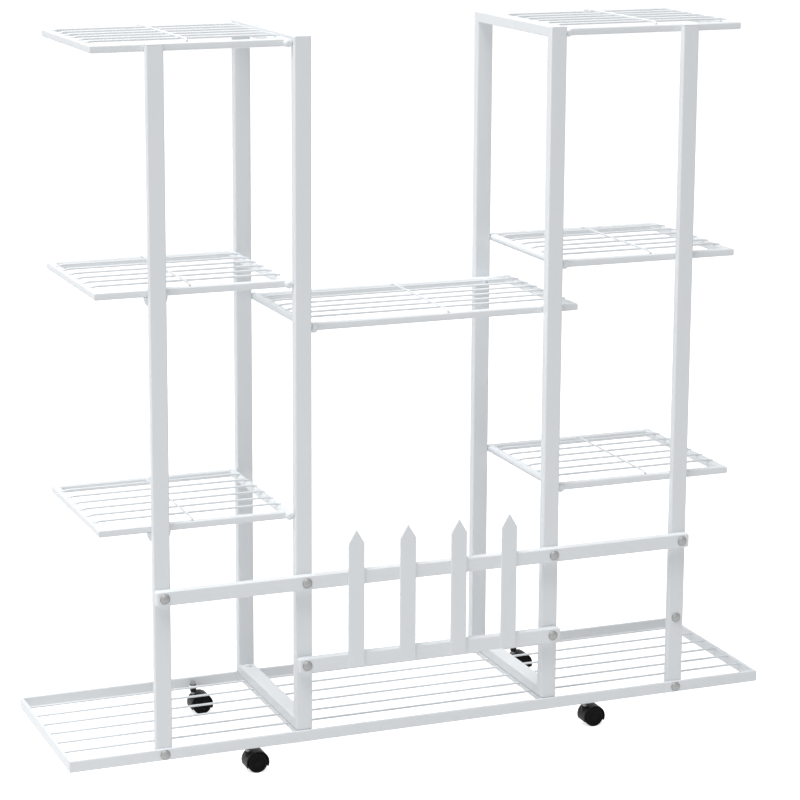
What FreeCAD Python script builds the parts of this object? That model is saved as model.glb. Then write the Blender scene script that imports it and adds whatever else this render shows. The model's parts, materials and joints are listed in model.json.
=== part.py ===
"""Tiered plant stand on casters: a wire-grid base, two tall loops of rectangular tube, an outer post
at the front of each side, seven wire shelves and a low picket fence.

Millimetres. +X runs along the stand, +Y to its back, +Z up. The origin is on the floor, below the
middle of the base.
"""

import FreeCAD, Part
import os
import re

import Sketcher
from FreeCAD import Placement, Rotation, Vector

# Driving dimensions
SIZES = {
    # Base frame, flat bar on edge
    "base_length": 946.0,
    "base_depth": 245.0,
    "base_floor_gap": 32.5,
    "base_bar_height": 15.0,
    "base_bar_thick": 4.0,
    "base_wire_dia": 3.5,
    "cross_bar_width": 20.0,
    "cross_bar_thick": 4.0,
    # Loops and outer posts, rectangular tube
    "stand_height": 915.0,
    "loop_offset": 168.2,
    "outer_post_offset": 351.6,
    "post_width": 21.4,
    "loop_tube_depth": 13.0,
    "outer_post_depth": 10.0,
    "tube_wall": 1.2,
    "cap_thick": 1.0,
    "cap_plug": 1.6,
    # Shelves: the level of each frame's top face, and the welded frame
    "top_shelf_level": 912.0,
    "upper_shelf_level": 620.0,
    "lower_shelf_level": 329.5,
    "middle_shelf_level": 563.0,
    "shelf_length": 248.1,
    "shelf_back_gap": 5.0,
    "shelf_bar_height": 9.5,
    "shelf_bar_thick": 9.5,
    "shelf_wire_dia": 3.0,
    "shelf_wire_inset": 2.0,
    "middle_shelf_overhang": 28.0,
    "middle_shelf_slip": 0.5,
    # Round rods across the shelves' ends, and the studs that they push onto
    "end_rod_dia": 10.5,
    "end_rod_setback": 4.0,
    "end_rod_cope": 2.6,
    "stud_dia": 4.0,
    "stud_length": 5.0,
    "stud_setback": 9.5,
    # Half-round tabs behind the outer posts
    "tab_width": 30.0,
    "tab_thick": 3.0,
    "tab_screw_drop": 7.0,
    # Shelf screws and foot bolts
    "screw_dia": 5.0,
    "screw_tail": 3.0,
    "screw_head_dia": 8.0,
    "screw_head_height": 3.0,
    "foot_bolt_inset": 8.0,
    "foot_bolt_tail": 2.0,
    # Fence
    "fence_rail_height": 18.4,
    "fence_rail_thick": 11.0,
    "fence_upper_level": 241.4,
    "fence_lower_level": 134.3,
    "picket_width": 21.1,
    "picket_thick": 3.0,
    "picket_pitch": 69.2,
    "picket_tip_level": 304.0,
    "picket_foot_level": 126.9,
    "picket_point": 17.6,
    # Mushroom-head bolts and their nuts
    "bolt_dia": 6.0,
    "bolt_head_dia": 12.5,
    "bolt_head_rise": 3.8,
    "bolt_tail": 4.0,
    "spare_bolt_tail": 9.0,
    "nut_corners": 11.5,
    "nut_height": 5.0,
    # Casters
    "caster_left_offset": 241.0,
    "caster_right_offset": 224.0,
    "caster_trail": 9.5,
    "boss_dia": 12.0,
    "boss_height": 12.0,
    "socket_height": 3.3,
    "socket_top_dia": 10.0,
    "socket_tip_dia": 7.4,
    "stem_dia": 6.0,
    "stem_foot_level": 11.0,
    "hood_dia": 30.4,
    "hood_width": 21.0,
    "hood_web": 8.0,
    "hood_floor_gap": 7.5,
    "wheel_dia": 26.0,
    "wheel_width": 6.0,
    "wheel_chamfer": 0.8,
    "wheel_dish_dia": 19.0,
    "wheel_dish_depth": 1.0,
    "wheel_hub_dia": 8.0,
    "wheel_cover": 1.5,
    "wheel_side_gap": 0.4,
    "wheel_tread_gap": 0.8,
    "axle_dia": 4.0,
    # Clearances: round a fastener, round a turning pin, and past the end of a cut
    "fastener_gap": 0.1,
    "running_gap": 0.05,
    "plug_gap": 0.1,
    "overrun": 1.0,
}
WIRE_COUNT = 6
PICKET_COUNT = 4

doc = FreeCAD.newDocument("PlantStand")
sheet = doc.addObject("Spreadsheet::Sheet", "Sizes")
for row, (alias, value) in enumerate(SIZES.items(), start=1):
    sheet.set(f"A{row}", alias)
    sheet.set(f"B{row}", str(value))
    sheet.setAlias(f"B{row}", alias)
doc.recompute()

subparts = []

# Places worked out from the driving dimensions
BASE_TOP = "(base_floor_gap + base_bar_height)"
RAIL_INNER = "(base_depth / 2 - base_bar_thick)"
POST_FRONT = f"(0 - {RAIL_INNER})"
LOOP_INNER = f"({RAIL_INNER} - loop_tube_depth)"
LOOP_FACE = "(loop_offset + post_width / 2)"
OUTER_POST_REAR = f"({POST_FRONT} + outer_post_depth)"
SHELF_DEPTH = f"(2 * {RAIL_INNER} - outer_post_depth - shelf_back_gap)"
FENCE_FRONT = f"({POST_FRONT} - fence_rail_thick)"
BASE_BOLT_LEVEL = "(base_floor_gap + base_bar_height / 2)"
STUD_Y = f"({RAIL_INNER} - stud_setback)"
FOOT_BOLT_Y = f"({LOOP_INNER} - foot_bolt_inset)"
CASTER_Y = f"({RAIL_INNER} - boss_dia / 2)"
AXLE_LEVEL = "(wheel_dia / 2)"
BOLT_HOLE = "(bolt_dia + 2 * fastener_gap)"
SCREW_HOLE = "(screw_dia + 2 * fastener_gap)"

TURNS = {
    "X": Rotation(Vector(0, 1, 0), 90),
    "Y": Rotation(Vector(1, 0, 0), -90),
    "-Y": Rotation(Vector(1, 0, 0), 90),
    "Z": Rotation(),
    "-Z": Rotation(Vector(1, 0, 0), 180),
}


# Helpers
def expand(text):
    """Turns each size's name in an expression into a reference to its cell."""
    return re.sub(r"[a-z_]+", lambda m: f"Sizes.{m[0]}" if m[0] in SIZES else m[0], text)


def bind(obj, **values):
    """Binds properties of an object to expressions of the sheet's sizes."""
    for path, text in values.items():
        obj.setExpression(path, expand(text))
    return obj


def place(obj, at, turn="Z"):
    """Turns an object and binds its place."""
    obj.Placement = Placement(Vector(), TURNS[turn])
    for axis, text in zip("xyz", at):
        obj.setExpression(f"Placement.Base.{axis}", expand(text))
    return obj


def block(name, low, size):
    """A box from its lowest corner and its three sizes."""
    box = doc.addObject("Part::Box", name)
    bind(box, Length=size[0], Width=size[1], Height=size[2])
    return place(box, low)


def rod(name, start, turn, dia, length):
    """A cylinder from the middle of its first end, along an axis."""
    cylinder = doc.addObject("Part::Cylinder", name)
    bind(cylinder, Radius=f"({dia}) / 2", Height=length)
    return place(cylinder, start, turn)


def fuse(name, pieces):
    """Joins touching pieces into one solid."""
    joined = doc.addObject("Part::MultiFuse", name)
    joined.Shapes = pieces
    joined.Refine = True
    return joined


def cut(name, base, tools):
    """Takes one or more tools away from a solid."""
    result = doc.addObject("Part::Cut", name)
    result.Base = base
    result.Tool = tools[0] if len(tools) == 1 else fuse(f"{name}_tools", tools)
    return result


def cluster(name, pieces):
    """Keeps separate solids together as one sub-part."""
    group = doc.addObject("Part::Compound", name)
    group.Links = pieces
    return group


def outline_sketch(body, plane, points):
    """A closed outline on one of the body's own planes, each corner bound to a pair of expressions."""
    sketch = body.newObject("Sketcher::SketchObject", f"{body.Name}_outline")
    face = [f for f in body.Origin.OriginFeatures if f.Role == plane][0]
    sketch.AttachmentSupport = [(face, "")]
    sketch.MapMode = "FlatFace"
    corners = [Vector(sheet_value(u), sheet_value(v), 0) for u, v in points]
    for i, corner in enumerate(corners):
        sketch.addGeometry(Part.LineSegment(corner, corners[(i + 1) % len(corners)]))
    for i in range(len(corners)):
        sketch.addConstraint(Sketcher.Constraint("Coincident", i, 2, (i + 1) % len(corners), 1))
    for i, (u, v) in enumerate(points):
        for kind, text in (("DistanceX", u), ("DistanceY", v)):
            index = sketch.addConstraint(Sketcher.Constraint(kind, -1, 1, i, 1, sheet_value(text)))
            sketch.setExpression(f"Constraints[{index}]", expand(text))
    return sketch


def sheet_value(text):
    """What an expression of the sheet's sizes comes to now."""
    return float(sheet.evalExpression(expand(text)))


def prism(name, plane, points, thick):
    """A body padded from an outline."""
    body = doc.addObject("PartDesign::Body", name)
    pad = body.newObject("PartDesign::Pad", f"{name}_pad")
    pad.Profile = outline_sketch(body, plane, points)
    bind(pad, Length=thick)
    body.Tip = pad
    return body


def turned(name, points):
    """A body turned about its own Y axis from an outline of radius and height."""
    body = doc.addObject("PartDesign::Body", name)
    sketch = outline_sketch(body, "XY_Plane", points)
    revolution = body.newObject("PartDesign::Revolution", f"{name}_revolution")
    revolution.Profile = sketch
    revolution.ReferenceAxis = (sketch, ["V_Axis"])
    body.Tip = revolution
    return body


def keep(obj, node):
    """Names a finished sub-part, which is written out at the end."""
    obj.Label = node
    subparts.append(obj)
    return obj


# Base: four bars, six wires level with their tops, and a cross bar below each loop
def base_frame():
    long_bar = ("base_length", "base_bar_thick", "base_bar_height")
    front = block("front_bar", ("-base_length / 2", "-base_depth / 2", "base_floor_gap"), long_bar)
    holes = [
        rod(
            "base_bolt_hole",
            (f"{side} * outer_post_offset", "-base_depth / 2 - overrun", BASE_BOLT_LEVEL),
            "Y",
            BOLT_HOLE,
            "base_bar_thick + 2 * overrun",
        )
        for side in (-1, 1)
    ]
    keep(cut("front_rail", front, holes), "base_front_rail")
    back = block("back_bar", ("-base_length / 2", RAIL_INNER, "base_floor_gap"), long_bar)
    keep(back, "base_back_rail")
    end_bar = ("base_bar_thick", f"2 * {RAIL_INNER}", "base_bar_height")
    left = block("left_bar", ("-base_length / 2", POST_FRONT, "base_floor_gap"), end_bar)
    keep(left, "base_left_end_bar")
    right_x = "base_length / 2 - base_bar_thick"
    keep(block("right_bar", (right_x, POST_FRONT, "base_floor_gap"), end_bar), "base_right_end_bar")


def base_grid():
    wires = [
        rod(
            "base_wire",
            (
                "base_bar_thick - base_length / 2",
                f"{POST_FRONT} + {i} * 2 * {RAIL_INNER} / {WIRE_COUNT + 1}",
                f"{BASE_TOP} - base_wire_dia / 2",
            ),
            "X",
            "base_wire_dia",
            "base_length - 2 * base_bar_thick",
        )
        for i in range(1, WIRE_COUNT + 1)
    ]
    keep(cluster("base_grid", wires), "base_wires")
    bars = []
    for side in (-1, 1):
        low = (
            f"{side} * loop_offset - cross_bar_width / 2",
            POST_FRONT,
            f"{BASE_TOP} - base_wire_dia - cross_bar_thick",
        )
        bar = block("cross_bar", low, ("cross_bar_width", f"2 * {RAIL_INNER}", "cross_bar_thick"))
        holes = [
            rod(
                "cross_bar_hole",
                (f"{side} * loop_offset", f"{end} * {FOOT_BOLT_Y}", f"{BASE_TOP} - base_wire_dia + overrun"),
                "-Z",
                SCREW_HOLE,
                "cross_bar_thick + 2 * overrun",
            )
            for end in (-1, 1)
        ]
        bars.append(cut("drilled_cross_bar", bar, holes))
    keep(cluster("cross_bars", bars), "base_cross_bars")


# Loops: four mitred tubes each, standing on the base wires
def mitred_tube(name, outer, inner, side):
    """A tube in the plane of a loop, from the outlines of its outside and of its hollow."""
    shell = prism(f"{name}_outside", "YZ_Plane", outer, "post_width")
    place(shell, (f"{side} * loop_offset - post_width / 2", "0", "0"))
    hollow = prism(f"{name}_hollow", "YZ_Plane", inner, "post_width - 2 * tube_wall")
    place(hollow, (f"{side} * loop_offset - post_width / 2 + tube_wall", "0", "0"))
    return shell, hollow


def loop_post(hand, side, end, holes):
    """The front or back post of a loop, mitred at both ends."""
    face = f"{end} * {RAIL_INNER}"

    def corners(outside, inside):
        return [
            (f"{face} - {end} * ({depth})", level.format(depth))
            for depth, level in (
                (outside, BASE_TOP + " + {}"),
                (outside, "stand_height - ({})"),
                (inside, "stand_height - ({})"),
                (inside, BASE_TOP + " + {}"),
            )
        ]

    name = f"{hand}_{'back' if end > 0 else 'front'}_post"
    wall_end = "loop_tube_depth - tube_wall"
    shell, hollow = mitred_tube(name, corners("0", "loop_tube_depth"), corners("tube_wall", wall_end), side)
    node = f"{hand}_loop_{'back' if end > 0 else 'front'}_post"
    keep(cut(name, shell, [hollow] + holes), node)


def loop_rail(hand, side, upper, holes):
    """The top or bottom rail of a loop, mitred at both ends."""

    def corners(outside, inside):
        level = "stand_height - ({})" if upper else BASE_TOP + " + {}"
        return [
            (f"{end} * ({RAIL_INNER} - ({depth}))", level.format(depth))
            for end, depth in ((-1, outside), (1, outside), (1, inside), (-1, inside))
        ]

    name = f"{hand}_{'top' if upper else 'bottom'}_rail"
    wall_end = "loop_tube_depth - tube_wall"
    shell, hollow = mitred_tube(name, corners("0", "loop_tube_depth"), corners("tube_wall", wall_end), side)
    keep(cut(name, shell, [hollow] + holes), f"{hand}_loop_{'top' if upper else 'bottom'}_rail")


def loop(hand, side):
    bolt_holes = [
        rod(
            "loop_bolt_hole",
            (f"{side} * loop_offset", f"{POST_FRONT} - overrun", level),
            "Y",
            BOLT_HOLE,
            "loop_tube_depth + 2 * overrun",
        )
        for level in ("fence_upper_level", "fence_lower_level")
    ]
    # The middle shelf's screws enter the inner walls of the right loop only
    screw_holes = {
        end: [
            rod(
                "loop_screw_hole",
                ("loop_offset", f"{end} * ({LOOP_INNER} - overrun)", bar_screw_level("middle_shelf_level")),
                "Y" if end > 0 else "-Y",
                SCREW_HOLE,
                "tube_wall + 2 * overrun",
            )
        ]
        for end in (-1, 1)
        if side > 0
    }
    foot_holes = [
        rod(
            "foot_bolt_hole",
            (f"{side} * loop_offset", f"{end} * {FOOT_BOLT_Y}", f"{BASE_TOP} - overrun"),
            "Z",
            SCREW_HOLE,
            "loop_tube_depth + 2 * overrun",
        )
        for end in (-1, 1)
    ]
    loop_post(hand, side, -1, bolt_holes + screw_holes.get(-1, []))
    loop_post(hand, side, 1, screw_holes.get(1, []))
    loop_rail(hand, side, True, [])
    loop_rail(hand, side, False, foot_holes)


def foot_bolts():
    bolts = []
    for side in (-1, 1):
        for end in (-1, 1):
            at = (f"{side} * loop_offset", f"{end} * {FOOT_BOLT_Y}")
            seat = f"{BASE_TOP} + loop_tube_depth"
            head = rod("foot_bolt_head", (*at, seat), "Z", "screw_head_dia", "screw_head_height")
            length = "loop_tube_depth + base_wire_dia + cross_bar_thick + foot_bolt_tail"
            shank = rod("foot_bolt_shank", (*at, seat), "-Z", "screw_dia", length)
            bolts.append(fuse("foot_bolt", [head, shank]))
    keep(cluster("foot_bolt_set", bolts), "loop_foot_bolts")


# Outer posts, behind the base's front rail, with a cap in each end
TOWER_LEVELS = ("top_shelf_level", "upper_shelf_level", "lower_shelf_level")
TOWER_NAMES = ("top", "upper", "lower")
TABBED = ("left_upper", "left_lower")


def tab_screw_level(level):
    return f"({level} - shelf_bar_height - tab_screw_drop)"


def bar_screw_level(level):
    """A screw's level in a shelf's bar, its head level with the bar's underside."""
    return f"({level} - shelf_bar_height + screw_head_dia / 2)"


def post_screw(name, level):
    """What a side shelf's screw grips, and its level: the tab where there is one, else the front bar."""
    if name in TABBED:
        return "tab_thick", tab_screw_level(level)
    return "shelf_bar_thick", bar_screw_level(level)


def outer_post(hand, side):
    x = f"{side} * outer_post_offset"
    foot = "base_floor_gap + cap_thick"
    height = "top_shelf_level - base_floor_gap - 2 * cap_thick"
    outside = block(
        f"{hand}_post_outside",
        (f"{x} - post_width / 2", POST_FRONT, foot),
        ("post_width", "outer_post_depth", height),
    )
    hollow = block(
        f"{hand}_post_hollow",
        (f"{x} - post_width / 2 + tube_wall", f"{POST_FRONT} + tube_wall", f"{foot} - overrun"),
        ("post_width - 2 * tube_wall", "outer_post_depth - 2 * tube_wall", f"{height} + 2 * overrun"),
    )
    levels = [BASE_BOLT_LEVEL, "fence_upper_level"] + (["fence_lower_level"] if side > 0 else [])
    through = "outer_post_depth + 2 * overrun"
    holes = [
        rod("post_bolt_hole", (x, f"{POST_FRONT} - overrun", level), "Y", BOLT_HOLE, through)
        for level in levels
    ]
    rear = f"{OUTER_POST_REAR} + overrun"
    for tier, shelf_level in zip(TOWER_NAMES, TOWER_LEVELS):
        level = post_screw(f"{hand}_{tier}", shelf_level)[1]
        holes.append(rod("post_screw_hole", (x, rear, level), "-Y", SCREW_HOLE, "tube_wall + 2 * overrun"))
    keep(cut(f"{hand}_post", outside, [hollow] + holes), f"{hand}_outer_post")


def post_caps():
    caps = []
    for side in (-1, 1):
        corner = (f"{side} * outer_post_offset - post_width / 2", POST_FRONT)
        inset = "tube_wall + plug_gap"
        plug_size = (f"post_width - 2 * ({inset})", f"outer_post_depth - 2 * ({inset})", "cap_plug")
        plug_at = [f"{place_text} + {inset}" for place_text in corner]
        for plate_level, plug_level in (
            ("base_floor_gap", "base_floor_gap + cap_thick"),
            ("top_shelf_level - cap_thick", "top_shelf_level - cap_thick - cap_plug"),
        ):
            plate_size = ("post_width", "outer_post_depth", "cap_thick")
            plate = block("post_cap_plate", (*corner, plate_level), plate_size)
            plug = block("post_cap_plug", (*plug_at, plug_level), plug_size)
            caps.append(fuse("post_cap", [plate, plug]))
    keep(cluster("post_cap_set", caps), "post_caps")


# Shelves: a welded frame of square bars with a round rod at the loop's end, and wires lying on it
def shelf_frame(name, x_low, length, y_low, depth, level, rod_high, screw_x, screw_faces):
    """The end rod, drilled for the loop's studs, the bars fitted round it, and the bar of the far end."""
    rod_low = f"{x_low} + {length} - end_rod_dia" if rod_high else x_low
    stud_low = f"{x_low} + {length} - stud_length" if rod_high else x_low
    rod_level = f"{level} - end_rod_dia / 2"
    end_rod = rod(
        f"{name}_end_rod",
        (f"{rod_low} + end_rod_dia / 2", f"end_rod_setback - {RAIL_INNER}", rod_level),
        "Y",
        "end_rod_dia",
        f"2 * {RAIL_INNER} - end_rod_setback - shelf_back_gap",
    )
    stud_holes = [
        rod(
            f"{name}_stud_hole",
            (f"{stud_low} - overrun", f"{end} * {STUD_Y}", rod_level),
            "X",
            "stud_dia + 2 * fastener_gap",
            "stud_length + 2 * overrun",
        )
        for end in (-1, 1)
    ]
    pieces = [cut(f"{name}_drilled_rod", end_rod, stud_holes)]

    bottom = f"{level} - shelf_bar_height"
    bars_low = x_low if rod_high else f"{x_low} + end_rod_dia / 2 + end_rod_cope"
    long_bar = (f"{length} - end_rod_dia / 2 - end_rod_cope", "shelf_bar_thick", "shelf_bar_height")
    for face, y in (("front", y_low), ("back", f"{y_low} + {depth} - shelf_bar_thick")):
        bar = block(f"{name}_{face}_bar", (bars_low, y, bottom), long_bar)
        tools = [end_rod]
        if face in screw_faces:
            at = (screw_x, f"{y} - overrun", bar_screw_level(level))
            tools.append(rod(f"{name}_screw_hole", at, "Y", SCREW_HOLE, "shelf_bar_thick + 2 * overrun"))
        pieces.append(cut(f"{name}_fitted_{face}_bar", bar, tools))
    end_x = x_low if rod_high else f"{x_low} + {length} - shelf_bar_thick"
    end_size = ("shelf_bar_thick", f"{depth} - 2 * shelf_bar_thick", "shelf_bar_height")
    pieces.append(block(f"{name}_end_bar", (end_x, f"{y_low} + shelf_bar_thick", bottom), end_size))
    return pieces


def shelf_grid(name, x_low, length, y_low, depth, level, rod_high):
    """Six wires along a shelf, lying on its bars, and one across, lying on the six."""
    first = "shelf_wire_inset" if rod_high else "end_rod_dia / 2 - shelf_wire_inset"
    wires = [
        rod(
            f"{name}_wire",
            (
                f"{x_low} + {first}",
                f"{y_low} + shelf_bar_thick / 2 + {i} * ({depth} - shelf_bar_thick) / {WIRE_COUNT + 1}",
                f"{level} + shelf_wire_dia / 2",
            ),
            "X",
            "shelf_wire_dia",
            f"{length} - end_rod_dia / 2",
        )
        for i in range(1, WIRE_COUNT + 1)
    ]
    shift = "- end_rod_dia / 2" if rod_high else "+ end_rod_dia / 2"
    middle = (
        f"{x_low} + {length} / 2 {shift}",
        f"{y_low} + shelf_wire_inset",
        f"{level} + 3 * shelf_wire_dia / 2",
    )
    across = f"{depth} - 2 * shelf_wire_inset"
    wires.append(rod(f"{name}_cross_wire", middle, "Y", "shelf_wire_dia", across))
    keep(cluster(f"{name}_grid", wires), f"{name}_shelf_wires")


def tab(name, x, level):
    """The half-round plate below a side shelf's front bar, behind the outer post."""
    top = f"{level} - shelf_bar_height"
    disc = rod(f"{name}_disc", (x, OUTER_POST_REAR, top), "Y", "tab_width", "tab_thick")
    above = block(
        f"{name}_above",
        (f"{x} - tab_width / 2 - overrun", f"{OUTER_POST_REAR} - overrun", top),
        ("tab_width + 2 * overrun", "tab_thick + 2 * overrun", "tab_width"),
    )
    hole = rod(
        f"{name}_hole",
        (x, f"{OUTER_POST_REAR} - overrun", tab_screw_level(level)),
        "Y",
        SCREW_HOLE,
        "tab_thick + 2 * overrun",
    )
    return cut(f"{name}_tab", disc, [above, hole])


def side_shelf(hand, side, tier, level):
    name = f"{hand}_{tier}"
    x_low = LOOP_FACE if side > 0 else f"(0 - {LOOP_FACE} - shelf_length)"
    spread = (x_low, "shelf_length", OUTER_POST_REAR, SHELF_DEPTH, level, side < 0)
    post_x = f"{side} * outer_post_offset"
    if name in TABBED:
        pieces = shelf_frame(name, *spread, post_x, ()) + [tab(name, post_x, level)]
    else:
        pieces = shelf_frame(name, *spread, post_x, ("front",))
    keep(cluster(f"{name}_frame", pieces), f"{name}_shelf_frame")
    shelf_grid(name, *spread)


def middle_shelf():
    x_low = "(post_width / 2 - loop_offset)"
    length = f"({LOOP_FACE} + middle_shelf_overhang - {x_low})"
    half = f"({LOOP_INNER} - middle_shelf_slip)"
    spread = (x_low, length, f"(0 - {half})", f"(2 * {half})", "middle_shelf_level", False)
    pieces = shelf_frame("middle", *spread, "loop_offset", ("front", "back"))
    keep(cluster("middle_frame", pieces), "middle_shelf_frame")
    shelf_grid("middle", *spread)


def screw(x, seat, level, turn, grip):
    """A pan-head screw whose head rests on its seat and whose shank runs along the turn into a tube."""
    back = {"Y": "-Y", "-Y": "Y"}[turn]
    head = rod("screw_head", (x, seat, level), back, "screw_head_dia", "screw_head_height")
    shank = rod("screw_shank", (x, seat, level), turn, "screw_dia", f"{grip} + tube_wall + screw_tail")
    return fuse("screw", [head, shank])


def shelf_screws():
    screws = []
    for hand, side in (("left", -1), ("right", 1)):
        for tier, shelf_level in zip(TOWER_NAMES, TOWER_LEVELS):
            grip, level = post_screw(f"{hand}_{tier}", shelf_level)
            seat = f"{OUTER_POST_REAR} + {grip}"
            screws.append(screw(f"{side} * outer_post_offset", seat, level, "-Y", grip))
    grip = "(middle_shelf_slip + shelf_bar_thick)"
    for end, turn in ((-1, "-Y"), (1, "Y")):
        seat = f"{end} * ({LOOP_INNER} - {grip})"
        screws.append(screw("loop_offset", seat, bar_screw_level("middle_shelf_level"), turn, grip))
    keep(cluster("screw_set", screws), "shelf_screws")


def shelf_studs():
    """Studs on the loops' outer sides for the side shelves, and inside the left loop for the middle one."""
    starts = []
    for level in TOWER_LEVELS:
        starts.append((LOOP_FACE, level))
        starts.append((f"(0 - {LOOP_FACE} - stud_length)", level))
    starts.append(("(post_width / 2 - loop_offset)", "middle_shelf_level"))
    studs = [
        rod("stud", (x, f"{end} * {STUD_Y}", f"{level} - end_rod_dia / 2"), "X", "stud_dia", "stud_length")
        for x, level in starts
        for end in (-1, 1)
    ]
    keep(cluster("stud_set", studs), "shelf_studs")


# Fence: two capped rails across the front of the posts, and the pickets on them
def fence_rail(tier, reach, level, bolt_places):
    bottom = f"{level} - fence_rail_height / 2"
    outside = block(
        f"{tier}_rail_outside",
        (f"cap_thick - {reach}", FENCE_FRONT, bottom),
        (f"2 * ({reach} - cap_thick)", "fence_rail_thick", "fence_rail_height"),
    )
    hollow = block(
        f"{tier}_rail_hollow",
        (f"cap_thick - {reach} - overrun", f"{FENCE_FRONT} + tube_wall", f"{bottom} + tube_wall"),
        (
            f"2 * ({reach} - cap_thick + overrun)",
            "fence_rail_thick - 2 * tube_wall",
            "fence_rail_height - 2 * tube_wall",
        ),
    )
    through = "fence_rail_thick + 2 * overrun"
    holes = [
        rod(f"{tier}_rail_hole", (x, f"{FENCE_FRONT} - overrun", level), "Y", BOLT_HOLE, through)
        for x in bolt_places
    ]
    keep(cut(f"{tier}_rail", outside, [hollow] + holes), f"fence_{tier}_rail")


def fence_caps(rails):
    caps = []
    inset = "tube_wall + plug_gap"
    plug_size = ("cap_plug", f"fence_rail_thick - 2 * ({inset})", f"fence_rail_height - 2 * ({inset})")
    for reach, level in rails:
        bottom = f"{level} - fence_rail_height / 2"
        for plate_x, plug_x in (
            (f"0 - {reach}", f"cap_thick - {reach}"),
            (f"{reach} - cap_thick", f"{reach} - cap_thick - cap_plug"),
        ):
            plate_size = ("cap_thick", "fence_rail_thick", "fence_rail_height")
            plate = block("rail_cap_plate", (plate_x, FENCE_FRONT, bottom), plate_size)
            plug_at = (plug_x, f"{FENCE_FRONT} + {inset}", f"{bottom} + {inset}")
            plug = block("rail_cap_plug", plug_at, plug_size)
            caps.append(fuse("rail_cap", [plate, plug]))
    keep(cluster("rail_cap_set", caps), "fence_rail_caps")


def pickets():
    boards = []
    outline = [
        ("-picket_width / 2", "picket_foot_level"),
        ("picket_width / 2", "picket_foot_level"),
        ("picket_width / 2", "picket_tip_level - picket_point"),
        ("0", "picket_tip_level"),
        ("-picket_width / 2", "picket_tip_level - picket_point"),
    ]
    for i in range(PICKET_COUNT):
        board = prism(f"picket_{i + 1}", "XZ_Plane", outline, "picket_thick")
        boards.append(place(board, (f"({2 * i - PICKET_COUNT + 1} / 2) * picket_pitch", FENCE_FRONT, "0")))
    keep(cluster("picket_set", boards), "fence_pickets")


# Mushroom-head bolts through rails and posts, each with a nut behind
def mushroom_bolt(x, seat, level, grip, tail):
    ball = "((bolt_head_dia * bolt_head_dia / 4 + bolt_head_rise * bolt_head_rise) / (2 * bolt_head_rise))"
    sink = f"({ball} - bolt_head_rise)"
    head = doc.addObject("Part::Sphere", "bolt_head")
    bind(head, Radius=ball, Angle1=f"asin({sink} / {ball})")
    place(head, (x, f"{seat} + {sink}", level), "-Y")
    shank = rod("bolt_shank", (x, seat, level), "Y", "bolt_dia", f"{grip} + nut_height + {tail}")
    return fuse("bolt", [head, shank])


def nut(x, seat, level):
    hexagon = doc.addObject("Part::Prism", "nut_hexagon")
    hexagon.Polygon = 6
    bind(hexagon, Circumradius="nut_corners / 2", Height="nut_height")
    place(hexagon, (x, seat, level), "Y")
    bore = rod("nut_bore", (x, f"{seat} - overrun", level), "Y", BOLT_HOLE, "nut_height + 2 * overrun")
    return cut("nut", hexagon, [bore])


def post_bolts():
    bolts = []
    nuts = []
    fence_grips = [
        ("outer_post_offset", "fence_upper_level", "outer_post_depth"),
        ("loop_offset", "fence_upper_level", "loop_tube_depth"),
        ("loop_offset", "fence_lower_level", "loop_tube_depth"),
    ]
    for side in (-1, 1):
        for offset, level, depth in fence_grips:
            x = f"{side} * {offset}"
            bolts.append(mushroom_bolt(x, FENCE_FRONT, level, f"fence_rail_thick + {depth}", "bolt_tail"))
            nuts.append(nut(x, f"{POST_FRONT} + {depth}", level))
        x = f"{side} * outer_post_offset"
        grip = "base_bar_thick + outer_post_depth"
        bolts.append(mushroom_bolt(x, "(0 - base_depth / 2)", BASE_BOLT_LEVEL, grip, "bolt_tail"))
        nuts.append(nut(x, OUTER_POST_REAR, BASE_BOLT_LEVEL))
    x = "outer_post_offset"
    bolts.append(mushroom_bolt(x, POST_FRONT, "fence_lower_level", "outer_post_depth", "spare_bolt_tail"))
    nuts.append(nut(x, OUTER_POST_REAR, "fence_lower_level"))
    keep(cluster("bolt_set", bolts), "post_bolts")
    keep(cluster("nut_set", nuts), "post_nuts")


# Casters: a boss and socket on the frame, a stem and hood that swivel, wheels and axle that roll
def wheel(name, x, y, outward):
    outline = [
        ("axle_dia / 2 + running_gap", "0"),
        ("wheel_dia / 2 - wheel_chamfer", "0"),
        ("wheel_dia / 2", "wheel_chamfer"),
        ("wheel_dia / 2", "wheel_width - wheel_chamfer"),
        ("wheel_dia / 2 - wheel_chamfer", "wheel_width"),
        ("wheel_dish_dia / 2", "wheel_width"),
        ("wheel_dish_dia / 2", "wheel_width - wheel_dish_depth"),
        ("wheel_hub_dia / 2", "wheel_width - wheel_dish_depth"),
        ("wheel_hub_dia / 2", "wheel_width"),
        ("0", "wheel_width"),
        ("0", "wheel_width - wheel_cover"),
        ("axle_dia / 2 + running_gap", "wheel_width - wheel_cover"),
    ]
    body = turned(name, outline)
    place(body, (x, f"{y} + {outward} * (hood_web / 2 + wheel_side_gap)", AXLE_LEVEL))
    if outward < 0:
        body.Placement.Rotation = Rotation(Vector(0, 0, 1), 180)
    return body


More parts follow.
